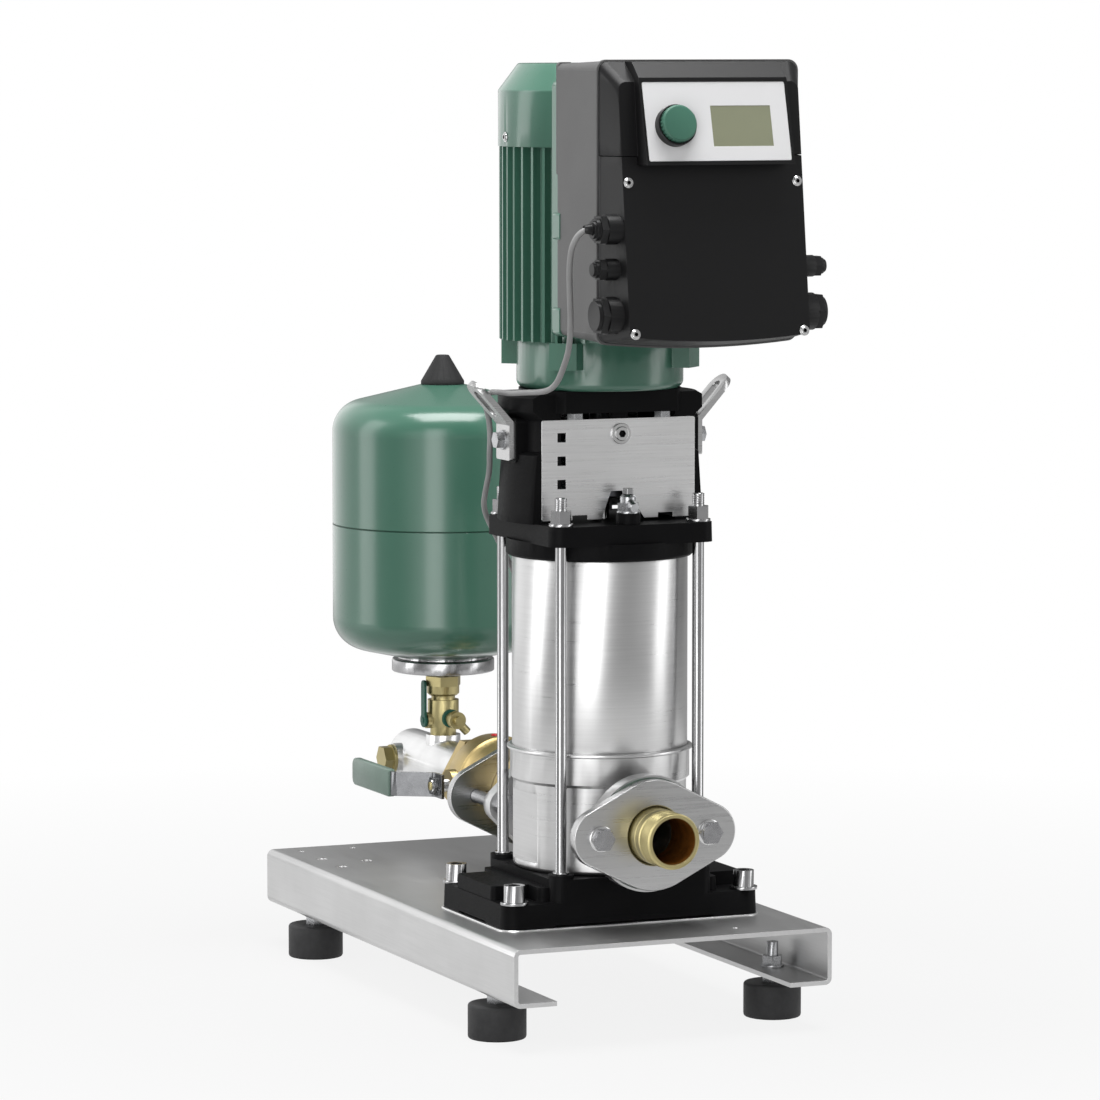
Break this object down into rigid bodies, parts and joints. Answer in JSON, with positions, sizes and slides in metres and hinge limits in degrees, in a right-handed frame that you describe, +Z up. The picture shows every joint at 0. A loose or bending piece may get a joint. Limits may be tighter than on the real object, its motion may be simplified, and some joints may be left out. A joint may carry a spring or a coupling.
{
  "type": "booster pump set",
  "caption": "Water booster set: upright multistage pump with a motor-mounted converter, non-return valve, ball valve and diaphragm tank on a bent steel base with rubber feet.",
  "frame": {"origin": "on the floor under the middle of the set's bounding box, without the cable", "axes": "X across, Y along the base from the suction port to the tank, Z up"},
  "size_m": [0.3079, 0.7172, 0.8255],
  "materials": {
    "stainless_sheet": "brushed",
    "stainless_drawn": "satin",
    "stainless_bar": "turned",
    "black_iron": "painted matt, cast",
    "zinc_steel": "zinc plated",
    "rubber_black": "moulded",
    "rubber_tank": "moulded",
    "brass_body": "machined",
    "green_paint": "semi gloss",
    "green_plastic": "moulded",
    "grey_casing": "matt",
    "black_plastic": "fine grain",
    "white_panel": "smooth",
    "lcd_glass": "smooth",
    "sleeve_plastic": "dipped",
    "copper_winding": "lacquered",
    "lamination": "stacked",
    "board_green": "solder mask",
    "grey_cable": "extruded",
    "gasket_sheet": "cut sheet"
  },
  "bodies": {
    "frame": {"base_frame": "stainless_sheet", "rubber_feet": "rubber_black", "foot_studs": "zinc_steel", "pump_foot": "black_iron", "foot_bolts": "stainless_bar", "pump_casing": "stainless_drawn", "flange_gaskets": "gasket_sheet", "outer_sleeve": "stainless_drawn", "tie_rods": "stainless_bar", "stage_casings": "stainless_drawn", "lantern": "black_iron", "coupling_guards": "stainless_sheet", "vent_valve": "zinc_steel", "lifting_eyes": "stainless_sheet", "suction_flange": "stainless_sheet", "suction_nipple": "brass_body", "flange_bolts": "stainless_bar", "check_valve_body": "brass_body", "discharge_flange": "stainless_sheet", "ball_valve_body": "brass_body", "discharge_pipe": "stainless_drawn", "pipe_plug": "brass_body", "pressure_sensor": "stainless_bar", "tank_valve_body": "brass_body", "drain_cap": "brass_body", "tank_clamp_ring": "zinc_steel", "tank_shell_lower": "green_paint", "tank_shell_upper": "green_paint", "tank_membrane": "rubber_tank", "tank_cap": "rubber_black", "motor_end_shield": "green_paint", "motor_housing": "green_paint", "stator": "copper_winding", "motor_bearings": "stainless_bar", "fan_cover": "green_paint", "lantern_bolts": "zinc_steel", "terminal_base": "green_paint", "converter_casing": "grey_casing", "converter_cover": "black_plastic", "display_module": "black_plastic", "display_panel": "white_panel", "display_window": "lcd_glass", "cable_glands": "black_plastic", "panel_screws": "zinc_steel", "circuit_board": "board_green", "sensor_cable": "grey_cable"},
    "rotor": {"motor_rotor": "lamination", "cooling_fan": "black_plastic", "shaft_coupling": "lamination", "pump_shaft": "stainless_bar", "impellers": "stainless_drawn", "shaft_seal": "stainless_bar"},
    "discharge_valve": {"valve_ball": "stainless_bar", "valve_lever": "zinc_steel", "lever_sleeve": "sleeve_plastic"},
    "tank_valve": {"tank_valve_lever": "green_plastic"},
    "non_return_flap": {"check_valve_flap": "brass_body"},
    "knob_push": {"encoder_plunger": "black_plastic"},
    "knob_turn": {"control_knob": "green_plastic"},
    "vent": {"vent_screw": "stainless_bar"}
  },
  "joints": [
    {"name": "rotor_spin", "type": "hinge", "parent": "frame", "child": "rotor", "pos_m": [0, -0.10422, 0.4885], "axis": [0, 0, 1], "continuous": true},
    {"name": "discharge_valve_turn", "type": "hinge", "parent": "frame", "child": "discharge_valve", "pos_m": [0, 0.12778, 0.1705], "axis": [1, 0, 0], "range_deg": [0, 90]},
    {"name": "tank_valve_turn", "type": "hinge", "parent": "frame", "child": "tank_valve", "pos_m": [0, 0.25678, 0.2125], "axis": [1, 0, 0], "range_deg": [-90, 0]},
    {"name": "flap_swing", "type": "hinge", "parent": "frame", "child": "non_return_flap", "pos_m": [0, 0.01878, 0.194], "axis": [1, 0, 0], "range_deg": [0, 60]},
    {"name": "knob_press", "type": "slide", "parent": "frame", "child": "knob_push", "axis": [0, 0.969, -0.247], "range_m": [0, 0.0015], "stiffness_N_per_m": 400, "springref_m": -0.001},
    {"name": "knob_spin", "type": "hinge", "parent": "knob_push", "child": "knob_turn", "pos_m": [-0.039, -0.34241, 0.77162], "axis": [0, -0.969, 0.247], "continuous": true},
    {"name": "vent_turn", "type": "hinge", "parent": "frame", "child": "vent", "pos_m": [0, -0.16422, 0.451], "axis": [0, 0, 1], "range_deg": [0, 360]}
  ]
}
